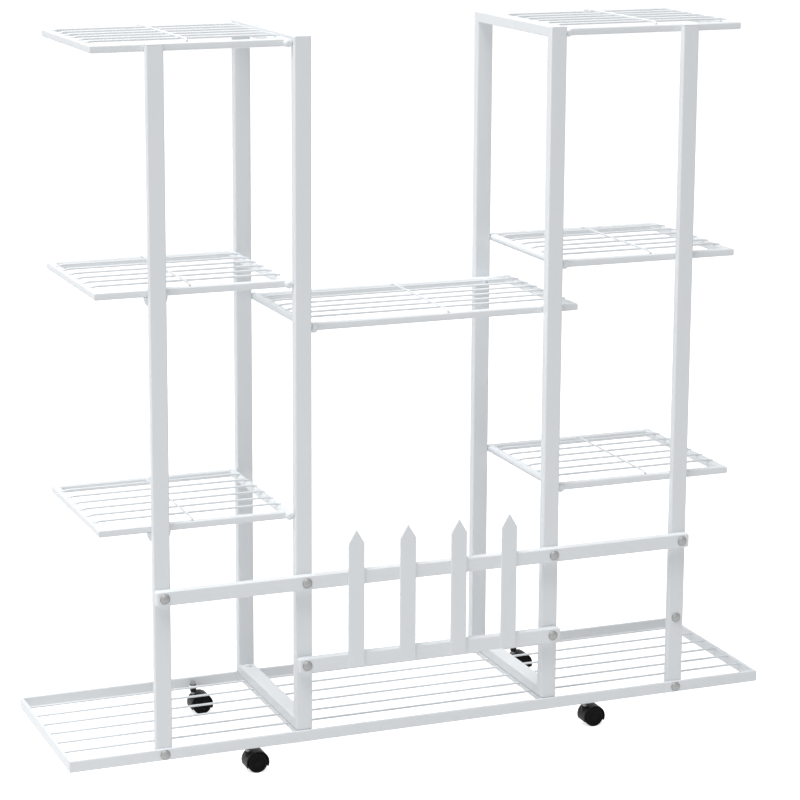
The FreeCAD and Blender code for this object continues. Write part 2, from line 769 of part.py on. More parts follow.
def caster(corner, x, end):
    y = f"({end} * {CASTER_Y})"
    axle_x = f"({x} + caster_trail)"
    stem_top = "base_floor_gap + boss_height - overrun"
    keep(
        rod(f"{corner}_stem", (x, y, "stem_foot_level"), "Z", "stem_dia", f"{stem_top} - stem_foot_level"),
        f"{corner}_caster_stem",
    )

    half = "hood_width / 2"
    drum = rod(f"{corner}_drum", (axle_x, f"{y} - {half}", AXLE_LEVEL), "Y", "hood_dia", "hood_width")
    well_dia = "wheel_dia + 2 * wheel_tread_gap"
    well_depth = "hood_width / 2 - hood_web / 2 + overrun"
    cuts = [
        rod(f"{corner}_front_well", (axle_x, f"{y} - hood_web / 2", AXLE_LEVEL), "-Y", well_dia, well_depth),
        rod(f"{corner}_back_well", (axle_x, f"{y} + hood_web / 2", AXLE_LEVEL), "Y", well_dia, well_depth),
        block(
            f"{corner}_below",
            (f"{axle_x} - hood_dia / 2 - overrun", f"{y} - {half} - overrun", "-hood_dia"),
            ("hood_dia + 2 * overrun", "hood_width + 2 * overrun", "hood_dia + hood_floor_gap"),
        ),
        rod(
            f"{corner}_axle_bore",
            (axle_x, f"{y} - hood_web / 2 - overrun", AXLE_LEVEL),
            "Y",
            "axle_dia + 2 * running_gap",
            "hood_web + 2 * overrun",
        ),
        rod(f"{corner}_stem_bore", (x, y, "stem_foot_level"), "Z", "stem_dia + 2 * running_gap", "hood_dia"),
    ]
    keep(cut(f"{corner}_hood", drum, cuts), f"{corner}_caster_hood")

    axle_half = "(hood_web / 2 + wheel_side_gap + wheel_width - wheel_cover - running_gap)"
    axle_start = (axle_x, f"{y} - {axle_half}", AXLE_LEVEL)
    axle = rod(f"{corner}_axle", axle_start, "Y", "axle_dia", f"2 * {axle_half}")
    keep(axle, f"{corner}_caster_axle")
    pair = [wheel(f"{corner}_{face}_wheel", axle_x, y, out) for face, out in (("front", -1), ("back", 1))]
    keep(cluster(f"{corner}_wheel_pair", pair), f"{corner}_caster_wheels")

    bore = rod(
        f"{corner}_boss_bore",
        (x, y, "base_floor_gap - socket_height - overrun"),
        "Z",
        "stem_dia + 2 * running_gap",
        "boss_height + socket_height + 2 * overrun",
    )
    solid_boss = rod(f"{corner}_boss", (x, y, "base_floor_gap"), "Z", "boss_dia", "boss_height")
    solid_socket = doc.addObject("Part::Cone", f"{corner}_socket")
    bind(solid_socket, Radius1="socket_tip_dia / 2", Radius2="socket_top_dia / 2", Height="socket_height")
    place(solid_socket, (x, y, "base_floor_gap - socket_height"))
    boss = cut(f"{corner}_bored_boss", solid_boss, [bore])
    return boss, cut(f"{corner}_bored_socket", solid_socket, [bore])


def casters():
    bosses = []
    sockets = []
    for depth, end in (("front", -1), ("back", 1)):
        for hand, x in (("left", "(0 - caster_left_offset)"), ("right", "caster_right_offset")):
            boss, socket = caster(f"{depth}_{hand}", x, end)
            bosses.append(boss)
            sockets.append(socket)
    keep(cluster("boss_set", bosses), "caster_bosses")
    keep(cluster("socket_set", sockets), "caster_sockets")


# Assembly
def build():
    base_frame()
    base_grid()
    for hand, side in (("left", -1), ("right", 1)):
        loop(hand, side)
        outer_post(hand, side)
        for tier, level in zip(TOWER_NAMES, TOWER_LEVELS):
            side_shelf(hand, side, tier, level)
    foot_bolts()
    post_caps()
    middle_shelf()
    shelf_screws()
    shelf_studs()
    rails = [
        ("(outer_post_offset + post_width / 2)", "fence_upper_level"),
        (LOOP_FACE, "fence_lower_level"),
    ]
    loop_bolts = ["-loop_offset", "loop_offset"]
    fence_rail("upper", *rails[0], ["-outer_post_offset", "outer_post_offset"] + loop_bolts)
    fence_rail("lower", *rails[1], loop_bolts)
    fence_caps(rails)
    pickets()
    post_bolts()
    casters()
    doc.recompute()


def write():
    """Checks the whole document, then writes each sub-part's solids."""
    failed = [o.Label for o in doc.Objects if "Invalid" in o.State or "Error" in o.State]
    if failed:
        raise RuntimeError(f"failed objects: {failed}")
    bad = [o.Label for o in subparts if o.Shape.isNull() or not o.Shape.isValid()]
    if bad:
        raise RuntimeError(f"bad shapes: {bad}")
    os.makedirs("parts", exist_ok=True)
    for part in subparts:
        part.Shape.exportStep(f"parts/{part.Label}.step")
    print(len(subparts), "sub-parts,", sum(len(part.Shape.Solids) for part in subparts), "solids")


build()
write()
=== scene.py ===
# %% [markdown]
# # A white plant stand on casters
#
# The stand is bent and welded from thin steel: tubes, flat bars and wires, all under one white coat.
# Its shapes come from the CAD model, so this lesson spends its time on what a camera sees: light, finishes,
# softened edges and the small turned pieces. All lengths are in metres, in the CAD model's own frame.

import json
import math

import bmesh
import bpy
from mathutils import Matrix, Vector


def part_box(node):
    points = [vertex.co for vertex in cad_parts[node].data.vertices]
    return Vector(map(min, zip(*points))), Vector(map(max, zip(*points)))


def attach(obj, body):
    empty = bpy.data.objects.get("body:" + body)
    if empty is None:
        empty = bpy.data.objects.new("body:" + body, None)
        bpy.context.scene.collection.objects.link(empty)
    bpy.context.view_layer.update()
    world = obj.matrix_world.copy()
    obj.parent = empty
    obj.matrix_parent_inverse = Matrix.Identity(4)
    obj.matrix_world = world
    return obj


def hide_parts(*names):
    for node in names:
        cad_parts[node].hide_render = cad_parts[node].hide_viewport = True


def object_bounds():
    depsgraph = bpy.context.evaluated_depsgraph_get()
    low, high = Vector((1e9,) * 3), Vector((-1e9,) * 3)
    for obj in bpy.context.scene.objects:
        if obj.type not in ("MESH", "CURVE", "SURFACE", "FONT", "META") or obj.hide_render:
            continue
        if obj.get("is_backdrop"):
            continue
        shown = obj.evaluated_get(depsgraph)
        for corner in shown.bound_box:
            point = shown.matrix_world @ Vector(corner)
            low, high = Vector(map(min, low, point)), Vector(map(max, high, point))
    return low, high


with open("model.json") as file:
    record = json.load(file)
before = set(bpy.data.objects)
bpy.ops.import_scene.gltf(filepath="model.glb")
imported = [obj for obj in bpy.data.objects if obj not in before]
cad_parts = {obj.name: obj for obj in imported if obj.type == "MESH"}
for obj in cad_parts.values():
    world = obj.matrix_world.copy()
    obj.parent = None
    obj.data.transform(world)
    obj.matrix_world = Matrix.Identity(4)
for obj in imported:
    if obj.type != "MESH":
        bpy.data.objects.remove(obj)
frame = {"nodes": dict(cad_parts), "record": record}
cad_low, cad_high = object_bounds()
MM = 0.001
print("nodes:", len(frame["nodes"]), "stand measures", [round(v, 4) for v in cad_high - cad_low])

# %% [markdown]
# ## The camera
#
# The photograph was taken from the left of the fence and from a little above the top shelves. A camera can
# be placed by eye, but here its place, turn and focal length were worked out from the stand's corners. The
# small shift slides the picture in its frame, as the sliding back of a studio camera does.

# %% Camera
PICTURE_SIDE = 800
FOCAL_PIXELS = 2645.5
AXIS_PIXEL = (335.1, 320.0)
CAMERA_PLACE = Vector((-1.2455, -3.0713, 1.2186))
CAMERA_YAW = math.radians(20.74)
CAMERA_PITCH = math.radians(11.64)
SENSOR_WIDTH = 36.0
SIGHT_LIMIT = 60.0


def photo_camera():
    data = bpy.data.cameras.new("photo_camera")
    data.sensor_width = SENSOR_WIDTH
    data.lens = FOCAL_PIXELS * SENSOR_WIDTH / PICTURE_SIDE
    data.shift_x = 0.5 - AXIS_PIXEL[0] / PICTURE_SIDE
    data.shift_y = AXIS_PIXEL[1] / PICTURE_SIDE - 0.5
    data.clip_end = SIGHT_LIMIT
    camera = bpy.data.objects.new("photo_camera", data)
    level = math.cos(CAMERA_PITCH)
    ahead = Vector((math.sin(CAMERA_YAW) * level, math.cos(CAMERA_YAW) * level, -math.sin(CAMERA_PITCH)))
    camera.location = CAMERA_PLACE
    camera.rotation_euler = ahead.to_track_quat("-Z", "Y").to_euler()
    bpy.context.scene.collection.objects.link(camera)
    bpy.context.scene.camera = camera
    return camera


camera = photo_camera()
print("lens", round(camera.data.lens, 1), "mm")
print("shift", round(camera.data.shift_x, 3), round(camera.data.shift_y, 3))

# %% [markdown]
# ## Writing shaders as sums
#
# A finish is a small graph of nodes. Wiring each one by hand hides the idea behind many lines, so one class
# wraps an output socket: `low + span * noise` then reads as maths, and each operator adds its Math node.
# Everything that isn't plain maths comes from the method `node`.


# %% Shader helper
class Flow:
    """An output of a node. Operators on it add Math nodes to the same tree."""

    def __init__(self, tree, output=None):
        self.tree = tree
        self.output = output

    def node(self, kind, settings, inputs, give=0):
        """Adds a node: first its settings, then the values or links of its sockets."""
        made = self.tree.nodes.new(kind)
        for name, value in settings.items():
            setattr(made, name, value)
        for name, value in inputs.items():
            if isinstance(value, Flow):
                self.tree.links.new(value.output, made.inputs[name])
            else:
                made.inputs[name].default_value = value
        return Flow(self.tree, made.outputs[give] if made.outputs else None)

    def maths(self, operation, first, second):
        return self.node("ShaderNodeMath", {"operation": operation}, {0: first, 1: second})

    def __add__(self, other):
        return self.maths("ADD", self, other)

    def __mul__(self, other):
        return self.maths("MULTIPLY", self, other)

    __radd__ = __add__
    __rmul__ = __mul__


def new_finish(name):
    """An empty material, and a Flow to start its graph from."""
    material = bpy.data.materials.new(name)
    material.use_nodes = True
    material.node_tree.nodes.clear()
    return material, Flow(material.node_tree)


def show(flow, shader):
    """Joins a shader to the tree's output."""
    flow.node("ShaderNodeOutputMaterial", {}, {"Surface": shader})


# %% [markdown]
# ## Light and background
#
# The stand was photographed on pure white, under one broad light high up on its left and a little in front:
# its top faces are almost white, its left faces a light grey and its front faces a clear grey. The world
# lights it softly all round, and shows itself to the camera as plain white.

# %% Lights
SKY_LEVEL = 0.34
KEY_PANEL = {"at": (-2.5, -1.0, 7.2), "to": (0.0, 0.0, 0.45), "side": 4.6, "watts": 570.0}


def panel(name, at, to, side, watts):
    """A square soft light that points at a place and isn't seen itself."""
    lamp = bpy.data.lights.new(name, "AREA")
    lamp.size = side
    lamp.energy = watts
    holder = bpy.data.objects.new(name, lamp)
    holder.location = at
    holder.rotation_euler = (Vector(to) - Vector(at)).to_track_quat("-Z", "Y").to_euler()
    holder.visible_camera = False
    bpy.context.scene.collection.objects.link(holder)


def seen_directly(flow):
    """1 for rays that show a thing itself: to the camera, in a gloss or through glass."""
    paths = flow.node("ShaderNodeLightPath", {}, {})
    ray = {name: Flow(flow.tree, paths.output.node.outputs[name]) for name in
           ("Is Camera Ray", "Is Glossy Ray", "Is Transmission Ray")}
    return ray["Is Camera Ray"] + ray["Is Glossy Ray"] + ray["Is Transmission Ray"]


def white_world():
    world = bpy.data.worlds.new("white_studio")
    world.use_nodes = True
    world.node_tree.nodes.clear()
    start = Flow(world.node_tree)
    strength = SKY_LEVEL + seen_directly(start) * (1.0 - SKY_LEVEL)
    sky = start.node("ShaderNodeBackground", {}, {"Color": (1.0, 1.0, 1.0, 1.0), "Strength": strength})
    start.node("ShaderNodeOutputWorld", {}, {"Surface": sky})
    bpy.context.scene.world = world


panel("key_panel", **KEY_PANEL)
white_world()
bpy.context.scene.view_settings.view_transform = "Standard"
print("key panel:", KEY_PANEL["watts"], "W, sky level", SKY_LEVEL)

# %% [markdown]
# ## The floor
#
# A plain pale floor catches the stand's shadow. To the camera it also glows a little, which lifts it to the
# white of the background and leaves only the darkest part of the shadow, close to the wheels.

# %% Floor
FLOOR_SIDE = 24.0
FLOOR_GLOW = 0.75
FLOOR_TONE = (0.8, 0.8, 0.8, 1.0)


def pale_floor():
    half = FLOOR_SIDE / 2
    mesh = bpy.data.meshes.new("pale_floor")
    corners = [(-half, -half, 0), (half, -half, 0), (half, half, 0), (-half, half, 0)]
    mesh.from_pydata(corners, [], [(0, 1, 2, 3)])
    floor = bpy.data.objects.new("pale_floor", mesh)
    bpy.context.scene.collection.objects.link(floor)
    material, start = new_finish("pale_floor")
    matt = start.node("ShaderNodeBsdfDiffuse", {}, {"Color": FLOOR_TONE})
    glow = start.node("ShaderNodeEmission", {}, {"Strength": seen_directly(start) * FLOOR_GLOW})
    show(start, start.node("ShaderNodeAddShader", {}, {0: matt, 1: glow}))
    mesh.materials.append(material)
    floor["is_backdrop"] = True


pale_floor()
print("floor:", FLOOR_SIDE, "m square")

# %% [markdown]
# ## White powder coat
#
# The steel is sprayed with white powder and baked. The coat flows a little as it melts, which leaves a faint
# ripple like orange peel, some 2 mm from crest to crest, and a satin gloss that drifts over a hand's width.

# %% Powder coat
COAT_TONES = ((0.775, 0.806, 0.832, 1.0), (0.805, 0.832, 0.853, 1.0))
PEEL_CRESTS = 520.0
PEEL_DEPTH = 0.05 * MM
COAT_DRIFT_CRESTS = 9.0


def mixed(flow, share, first, second):
    """A colour between two, by a share from 0 to 1."""
    return flow.node("ShaderNodeMix", {"data_type": "RGBA"}, {0: share, 6: first, 7: second}, 2)


def ripple(flow, place, crests_per_metre, detail):
    """Soft noise from 0 to 1, by its crests in a metre."""
    sockets = {"Vector": place, "Scale": crests_per_metre, "Detail": detail, "Roughness": 0.5}
    return flow.node("ShaderNodeTexNoise", {"noise_dimensions": "3D"}, sockets, 0)


def own_place(flow):
    """Where a point lies on its own piece, so that a finish moves with the piece."""
    return flow.node("ShaderNodeTexCoord", {}, {}, "Object")


def bumped(flow, height, depth, strength):
    return flow.node("ShaderNodeBump", {}, {"Height": height, "Distance": depth, "Strength": strength})


def powder_coat():
    material, start = new_finish("white_powder_coat")
    place = own_place(start)
    peel = ripple(start, place, PEEL_CRESTS, 2.0)
    drift = ripple(start, place, COAT_DRIFT_CRESTS, 3.0)
    shader = start.node("ShaderNodeBsdfPrincipled", {}, {
        "Base Color": mixed(start, drift, *COAT_TONES),
        "Roughness": 0.34 + 0.12 * drift + 0.06 * peel,
        "Normal": bumped(start, peel, PEEL_DEPTH, 0.5),
    })
    show(start, shader)
    return material


coat = powder_coat()
print("finish:", coat.name)

# %% [markdown]
# ## White plastic caps
#
# The open ends of the posts and fence rails are closed with moulded caps. Their white is the coat's, but
# flatter, with the fine grain of the mould.

# %% Cap plastic
CAP_TONES = ((0.79, 0.81, 0.825, 1.0), (0.82, 0.835, 0.85, 1.0))
CAP_GRAIN_CRESTS = 1600.0
CAP_DRIFT_CRESTS = 30.0
GRAIN_DEPTH = 0.03 * MM


def cap_plastic():
    material, start = new_finish("white_cap_plastic")
    place = own_place(start)
    grain = ripple(start, place, CAP_GRAIN_CRESTS, 1.0)
    drift = ripple(start, place, CAP_DRIFT_CRESTS, 2.0)
    shader = start.node("ShaderNodeBsdfPrincipled", {}, {
        "Base Color": mixed(start, drift, *CAP_TONES),
        "Roughness": 0.48 + 0.1 * grain,
        "Normal": bumped(start, grain, GRAIN_DEPTH, 0.5),
    })
    show(start, shader)
    return material


caps = cap_plastic()
print("finish:", caps.name)

# %% [markdown]
# ## Zinc plate
#
# Bolts, nuts, stems and axles are zinc plated. The plate is a soft grey metal, cloudy at the scale of a
# millimetre, with faint marks from tumbling in the bath.

# %% Zinc
ZINC_TONES = ((0.275, 0.277, 0.28, 1.0), (0.37, 0.37, 0.37, 1.0))
CLOUD_CRESTS = 700.0
MARK_CRESTS = 3200.0
MARK_DEPTH = 0.01 * MM


def zinc_plate():
    material, start = new_finish("zinc_plate")
    place = own_place(start)
    cloud = ripple(start, place, CLOUD_CRESTS, 3.0)
    marks = ripple(start, place, MARK_CRESTS, 2.0)
    shader = start.node("ShaderNodeBsdfPrincipled", {}, {
        "Base Color": mixed(start, cloud, *ZINC_TONES),
        "Metallic": 1.0,
        "Roughness": 0.5 + 0.2 * cloud,
        "Normal": bumped(start, marks, MARK_DEPTH, 0.4),
    })
    show(start, shader)
    return material


zinc = zinc_plate()
print("finish:", zinc.name)

# %% [markdown]
# ## Black caster plastic
#
# Hoods and sockets are moulded in a satin black nylon; the wheels' nylon is duller and a little more scuffed.
# Under a white sky even a black plastic looks grey from the light that it mirrors, so its mirroring is weak.

# %% Black plastics
DEEP_BLACK = (0.004, 0.004, 0.0045)
BLACK_GRAIN_CRESTS = 1400.0
SCUFF_CRESTS = 160.0


def black_plastic(name, gloss, mirroring, scuff):
    """A moulded black, with patches that are lighter by the scuff."""
    material, start = new_finish(name)
    place = own_place(start)
    grain = ripple(start, place, BLACK_GRAIN_CRESTS, 2.0)
    patch = ripple(start, place, SCUFF_CRESTS, 3.0)
    scuffed = tuple(channel + scuff for channel in DEEP_BLACK)
    shader = start.node("ShaderNodeBsdfPrincipled", {}, {
        "Base Color": mixed(start, patch, (*DEEP_BLACK, 1.0), (*scuffed, 1.0)),
        "Roughness": 1.0 - gloss + 0.14 * patch,
        "Specular IOR Level": mirroring,
        "Normal": bumped(start, grain, GRAIN_DEPTH, 0.5),
    })
    show(start, shader)
    return material


hood_black = black_plastic("satin_black_hood", gloss=0.62, mirroring=0.16, scuff=0.003)
wheel_black = black_plastic("dull_black_wheel", gloss=0.5, mirroring=0.06, scuff=0.004)
print("finishes:", hood_black.name, wheel_black.name)

# %% [markdown]
# ## Reading the CAD pieces
#
# Sharp edges give a drawing away: real bars and tubes have rounded ones that catch the light. The bars, tubes
# and turned pieces are therefore made again with soft edges, each one by the box of the CAD solid that it
# stands for. The CAD meshes list their solids one after another, and a solid ends where no edge is left open.

# %% Boxes of the solids
MICRON = MM * MM


def solids(node):
    """The lowest and highest corner of each solid in a CAD node."""
    mesh = frame["nodes"][node].data
    spots = [tuple(round(c / MICRON) for c in v.co) for v in mesh.vertices]
    open_edges = set()
    corners = []
    boxes = []
    for face in mesh.polygons:
        ring = [spots[i] for i in face.vertices]
        corners += ring
        for start, end in zip(ring, ring[1:] + ring[:1]):
            if (end, start) in open_edges:
                open_edges.remove((end, start))
            elif start != end:
                open_edges.add((start, end))
        if not open_edges:
            low, high = Vector(map(min, zip(*corners))), Vector(map(max, zip(*corners)))
            boxes.append((low * MM * MM, high * MM * MM))
            corners = []
    return boxes


print("solids:", sum(len(solids(node)) for node in frame["nodes"]))

# %% [markdown]
# ## From a mesh to a piece
#
# Each new piece gets its finish, rides on the CAD body that carries it and hides the CAD nodes that it stands
# for. Its faces are shaded smooth up to a crease of 50 degrees, with normals weighed by face so that the flats
# stay flat between the rounded edges.

# %% Piece maker
FINISH = {
    "white_paint": coat,
    "white_plastic": caps,
    "zinc": zinc,
    "black_plastic": hood_black,
    "black_wheel": wheel_black,
}
SLOT = {row["node"]: row["material_slot"] for row in frame["record"]["subparts"]}
FLAT_WEIGHT = 90
CREASE_ANGLE = math.radians(50)


def piece_from(work, name, nodes, body="frame"):
    """Turns a worked mesh into a piece that stands for CAD nodes."""
    bmesh.ops.recalc_face_normals(work, faces=work.faces)
    for face in work.faces:
        face.smooth = True
    for edge in work.edges:
        edge.smooth = edge.is_manifold and edge.calc_face_angle() < CREASE_ANGLE
    mesh = bpy.data.meshes.new(name)
    work.to_mesh(mesh)
    work.free()
    slot_name = SLOT[nodes[0]]
    mesh.materials.append(FINISH[slot_name])
    piece = bpy.data.objects.new(name, mesh)
    bpy.context.scene.collection.objects.link(piece)
    weigh = piece.modifiers.new("flat_faces", "WEIGHTED_NORMAL")
    weigh.weight = FLAT_WEIGHT
    weigh.keep_sharp = True
    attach(piece, body)
    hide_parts(*nodes)
    print(name, len(mesh.polygons), "faces")


# %% [markdown]
# ## Blocks with soft edges
#
# The simplest piece is a block whose edges are all rolled over by half a millimetre; a bevel of a few strips
# does that. The two ties below the loops and the caps of the posts are such blocks. A tie also fills the space
# between the wires, so that no dark gap shows below the loop that stands on it.

# %% Blocks
BAR_EDGE = 0.55 * MM
TIE_RISE = Vector((0, 0, 3.0 * MM))


def block(work, low, high):
    """A sharp block between two corners. Gives its edges."""
    middle = (low + high) / 2
    made = bmesh.ops.create_cube(work, size=1.0, matrix=Matrix.LocRotScale(middle, None, high - low))
    return list({edge for vert in made["verts"] for edge in vert.link_edges})


def roll_edges(work, edges, radius, strips=2):
    bmesh.ops.bevel(work, geom=edges, offset=radius, offset_type="OFFSET", segments=strips, profile=0.5,
                    affect="EDGES", clamp_overlap=True)


def bar(work, low, high, radius=BAR_EDGE):
    roll_edges(work, block(work, low, high), radius)


work = bmesh.new()
for low, high in solids("base_cross_bars"):
    bar(work, low, high + TIE_RISE)
piece_from(work, "base_ties", ["base_cross_bars"])

# %% [markdown]
# ## Tubes
#
# Posts and fence rails are rectangular tube, whose long corners have a radius of some 1.5 mm from the rolls
# that shaped it. Only the edges along the tube are rounded. The base and the loops are closed rings of bar or
# tube, cut at 45 degrees and welded, so an outline is carried round the corners, each time on the cut.

# %% Tubes and rings
TUBE_EDGE = 1.6 * MM
BASE_EDGE = 1.4 * MM
TUBE_STRIPS = 3


def tube(work, low, high):
    """A tube along its longest side."""
    size = high - low
    run = max(range(3), key=lambda axis: size[axis])
    edges = block(work, low, high)
    along = [e for e in edges if abs((e.verts[0].co - e.verts[1].co)[run]) > size[run] / 2]
    roll_edges(work, along, TUBE_EDGE, TUBE_STRIPS)


def rounded_outline(width, depth, radius):
    """The outline of a tube: pairs of a place across it and a depth below its outer face."""
    points = []
    for quarter, (across, down) in enumerate(((1, 0), (1, 1), (-1, 1), (-1, 0))):
        middle = (across * (width / 2 - radius), radius + down * (depth - 2 * radius))
        for strip in range(TUBE_STRIPS + 1):
            turn = math.radians(90) * (quarter - 1 + strip / TUBE_STRIPS)
            points.append((middle[0] + radius * math.cos(turn), middle[1] + radius * math.sin(turn)))
    return points


def skin(work, rings, closed=False):
    """Faces from each ring of points to the next."""
    for ring, following in zip(rings, rings[1:] + rings[:1] if closed else rings[1:]):
        for i in range(len(ring)):
            j = (i + 1) % len(ring)
            work.faces.new((ring[i], ring[j], following[j], following[i]))


def carry(work, outline, corners, place, closed):
    """Carries an outline round corners. A corner has two places, each with its way in, for the cut."""
    rings = []
    for (u, in_u), (v, in_v) in corners:
        spots = [place(u + in_u * down, v + in_v * down, across) for across, down in outline]
        rings.append([work.verts.new(spot) for spot in spots])
    skin(work, rings, closed)
    return rings


def rectangle(low_u, high_u, low_v, high_v):
    """Four corners for a closed ring, each with its way in."""
    near_u, far_u, near_v, far_v = (low_u, 1), (high_u, -1), (low_v, 1), (high_v, -1)
    return [(near_u, near_v), (far_u, near_v), (far_u, far_v), (near_u, far_v)]


def base_frame():
    nodes = ["base_front_rail", "base_back_rail", "base_left_end_bar", "base_right_end_bar"]
    front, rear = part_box(nodes[0]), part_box(nodes[1])
    middle = (front[0].z + front[1].z) / 2
    outline = rounded_outline(front[1].z - front[0].z, front[1].y - front[0].y, BASE_EDGE)
    work = bmesh.new()
    corners = rectangle(front[0].x, front[1].x, front[0].y, rear[1].y)
    carry(work, outline, corners, lambda x, y, across: (x, y, middle + across), True)
    piece_from(work, "base_frame", nodes)


def loop(hand):
    """Four mitred tubes in a ring, standing across the base."""
    nodes = [f"{hand}_loop_{part}" for part in ("front_post", "back_post", "top_rail", "bottom_rail")]
    front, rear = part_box(nodes[0]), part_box(nodes[1])
    middle = (front[0].x + front[1].x) / 2
    outline = rounded_outline(front[1].x - front[0].x, front[1].y - front[0].y, TUBE_EDGE)
    work = bmesh.new()
    corners = rectangle(front[0].y, rear[1].y, front[0].z, front[1].z)
    carry(work, outline, corners, lambda y, z, across: (middle + across, y, z), True)
    piece_from(work, f"{hand}_loop", nodes)


base_frame()
for hand in ("left", "right"):
    loop(hand)
    work = bmesh.new()
    tube(work, *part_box(f"{hand}_outer_post"))
    piece_from(work, f"{hand}_post_tube", [f"{hand}_outer_post"])

# %% [markdown]
# ## Fence
#
# Two tubes carry four flat pickets with a pointed top. The rails end in plastic plugs, whose visible part is
# a small pillow with well-rounded edges; the posts end in thin flat caps.

# %% Fence and caps
PICKET_POINT = 17.6 * MM
PICKET_EDGE = 0.4 * MM
PLUG_SHOWN = 3.2 * MM
PLUG_EDGE = 2.2 * MM
CAP_THICK = 1.0 * MM
CAP_EDGE = 0.45 * MM


def slab(work, outline, near, far, radius):
    """A flat plate from an outline of x and z, between two depths, with rolled edges."""
    face = work.faces.new([work.verts.new((x, near, z)) for x, z in outline])
    grown = bmesh.ops.extrude_face_region(work, geom=[face])
    moved = [v for v in grown["geom"] if isinstance(v, bmesh.types.BMVert)]
    bmesh.ops.translate(work, verts=moved, vec=(0, far - near, 0))
    rims = {edge for vert in moved for edge in vert.link_edges} | set(face.edges)
    roll_edges(work, list(rims), radius)


def picket(work, low, high):
    middle = (low.x + high.x) / 2
    shoulder = high.z - PICKET_POINT
    outline = [(low.x, low.z), (high.x, low.z), (high.x, shoulder), (middle, high.z), (low.x, shoulder)]
    slab(work, outline, low.y, high.y, PICKET_EDGE)


def fence():
    work = bmesh.new()
    for low, high in solids("fence_pickets"):
        picket(work, low, high)
    piece_from(work, "pickets", ["fence_pickets"])
    plugs = bmesh.new()
    for tier in ("upper", "lower"):
        low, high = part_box(f"fence_{tier}_rail")
        outer = high.x + CAP_THICK
        ends = Vector((outer - PLUG_SHOWN, 0, 0))
        work = bmesh.new()
        tube(work, Vector((0, low.y, low.z)) - ends, Vector((0, high.y, high.z)) + ends)
        piece_from(work, f"{tier}_rail_tube", [f"fence_{tier}_rail"])
        for side in (-1, 1):
            x = sorted((side * outer, side * (outer - PLUG_SHOWN)))
            edges = block(plugs, Vector((x[0], low.y, low.z)), Vector((x[1], high.y, high.z)))
            shown = [e for e in edges if all(abs(v.co.x) > outer - PLUG_SHOWN / 2 for v in e.verts)]
            along = [e for e in edges if abs(e.verts[0].co.x - e.verts[1].co.x) > PLUG_SHOWN / 2]
            roll_edges(plugs, shown + along, PLUG_EDGE, TUBE_STRIPS)
    piece_from(plugs, "rail_plugs", ["fence_rail_caps"])


def post_ends():
    work = bmesh.new()
    for low, high in solids("post_caps"):
        upper = low.z > cad_high.z / 2
        bottom = high.z - CAP_THICK if upper else low.z
        bar(work, Vector((low.x, low.y, bottom)), Vector((high.x, high.y, bottom + CAP_THICK)), CAP_EDGE)
    piece_from(work, "post_end_caps", ["post_caps"])


fence()
post_ends()

# %% [markdown]
# ## Turned pieces
#
# Rods, bolt heads, screws and threads are all round. Turning a profile of radius and height about an axis
# makes every one of them, and a ring of the profile may also be a hexagon, for a key socket.

# %% Turning
TURN_SIDES = 32


def hexagon(across_flats):
    """The radius of a hexagon at each angle."""
    sector = math.radians(60)
    return lambda turn: across_flats / 2 / math.cos((turn + sector / 2) % sector - sector / 2)


def turn_profile(work, profile, at, axis, sides=TURN_SIDES):
    """Turns rings of (radius, height) about an axis from a place. A radius may depend on the angle."""
    ahead = Vector(axis).normalized()
    matrix = Matrix.Translation(at) @ ahead.to_track_quat("Z", "Y").to_matrix().to_4x4()
    rings = []
    for radius, height in profile:
        ring = []
        for i in range(sides):
            angle = 2 * math.pi * i / sides
            reach = radius(angle) if callable(radius) else radius
            spot = Vector((reach * math.cos(angle), reach * math.sin(angle), height))
            ring.append(work.verts.new(matrix @ spot))
        rings.append(ring)
    skin(work, rings)
    return rings


def close(work, ring):
    work.faces.new(ring)


def sleeve(work, at, profile):
    """An upright turned piece with a bore all through it."""
    rings = turn_profile(work, profile, at, (0, 0, 1))
    skin(work, [rings[-1], rings[0]])


# %% [markdown]
# ## Shelves
#
# A shelf frame is a U of square tube, cut at 45 degrees at its two corners. A round rod with softened ends
# closes the U at the loop, where studs hold it. Two of the shelves have a half-round tab behind the outer
# post. The pieces are told apart by the shape of their box: the rod is the tallest, the tab the thinnest.

# %% Shelf frames
SHELF_EDGE = 2.0 * MM
BAR_INTO_ROD = 1.5 * MM
ROD_RIM = 3.4 * MM
ROD_SIDES = 40
ROD_RIM_STEPS = 6
TAB_LIMIT = 5 * MM
TAB_STEPS = 24
TAB_EDGE = 0.5 * MM


def end_rod(work, low, high):
    """A round rod along Y whose ends are rounded."""
    radius = (high.z - low.z) / 2
    length = high.y - low.y
    turns = [math.radians(90) * i / ROD_RIM_STEPS for i in range(ROD_RIM_STEPS + 1)]
    near = [(radius - ROD_RIM * (1 - math.sin(turn)), ROD_RIM * (1 - math.cos(turn))) for turn in turns]
    profile = near + [(reach, length - height) for reach, height in reversed(near)]
    start = Vector(((low.x + high.x) / 2, low.y, (low.z + high.z) / 2))
    rings = turn_profile(work, profile, start, (0, 1, 0), ROD_SIDES)
    close(work, rings[0])
    close(work, rings[-1])


def tab(work, low, high):
    """A half-round plate that hangs from its straight edge."""
    radius = (high.x - low.x) / 2
    middle = (low.x + high.x) / 2
    outline = []
    for i in range(TAB_STEPS + 1):
        angle = math.pi * (1 + i / TAB_STEPS)
        outline.append((middle + radius * math.cos(angle), high.z + radius * math.sin(angle)))
    slab(work, outline, low.y, high.y, TAB_EDGE)


